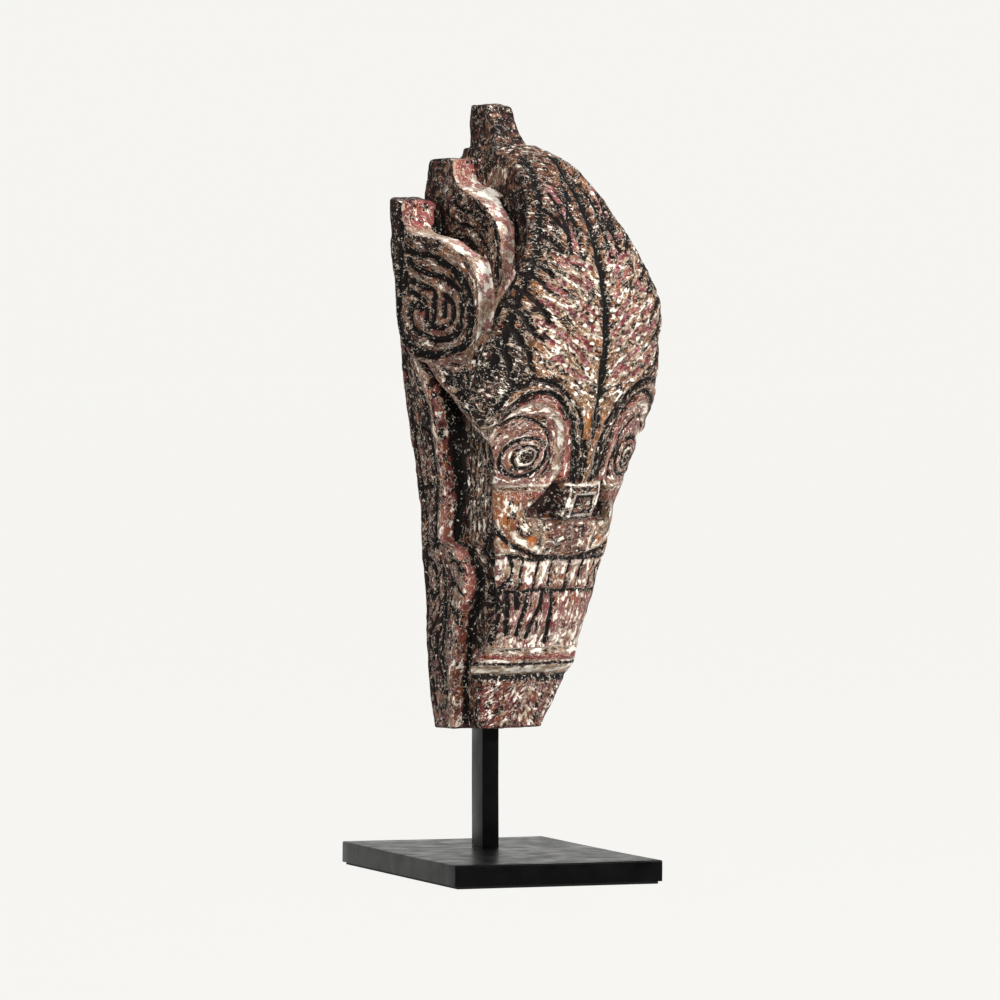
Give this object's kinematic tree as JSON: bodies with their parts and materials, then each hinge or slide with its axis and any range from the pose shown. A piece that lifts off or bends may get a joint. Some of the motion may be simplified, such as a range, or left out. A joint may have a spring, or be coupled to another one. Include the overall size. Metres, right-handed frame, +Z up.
{
  "type": "carved wooden head on display stand",
  "caption": "Carved, painted wooden beast head with a stepped crown, turning on a pin above a black steel post and flat rectangular base.",
  "frame": {"origin": "middle of the felt's underside, on the surface that the stand rests on", "axes": "+Z up along the post, -Y towards the base's narrow front edge, +X to the viewer's right; the head is turned 20 degrees from -Y towards +X"},
  "size_m": [0.2283, 0.3, 0.664],
  "materials": {
    "painted_wood": "distressed paint, matt",
    "black_steel": "satin",
    "bare_steel": "machined",
    "bearing_brass": "machined",
    "nylon": "matt",
    "fibreboard": "raw",
    "black_felt": "felt"
  },
  "bodies": {
    "stand": {"base_felt": "black_felt", "base_core": "fibreboard", "base_pan": "black_steel", "backing_plate": "bare_steel", "foot_washers": "bare_steel", "foot_bolts": "bare_steel", "post_foot_block": "bare_steel", "post_tube": "black_steel", "post_top_block": "bare_steel", "spigot_pin": "bare_steel"},
    "swivel": {"thrust_washer": "nylon"},
    "head": {"carved_head": "painted_wood", "socket_sleeve": "bearing_brass"}
  },
  "joints": [
    {"name": "head_turn", "type": "hinge", "parent": "stand", "child": "swivel", "pos_m": [0.006, 0.054, 0.1235], "axis": [0, 0, 1], "continuous": true},
    {"name": "head_lift", "type": "slide", "parent": "swivel", "child": "head", "axis": [0, 0, 1], "range_m": [0, 0.072]}
  ]
}
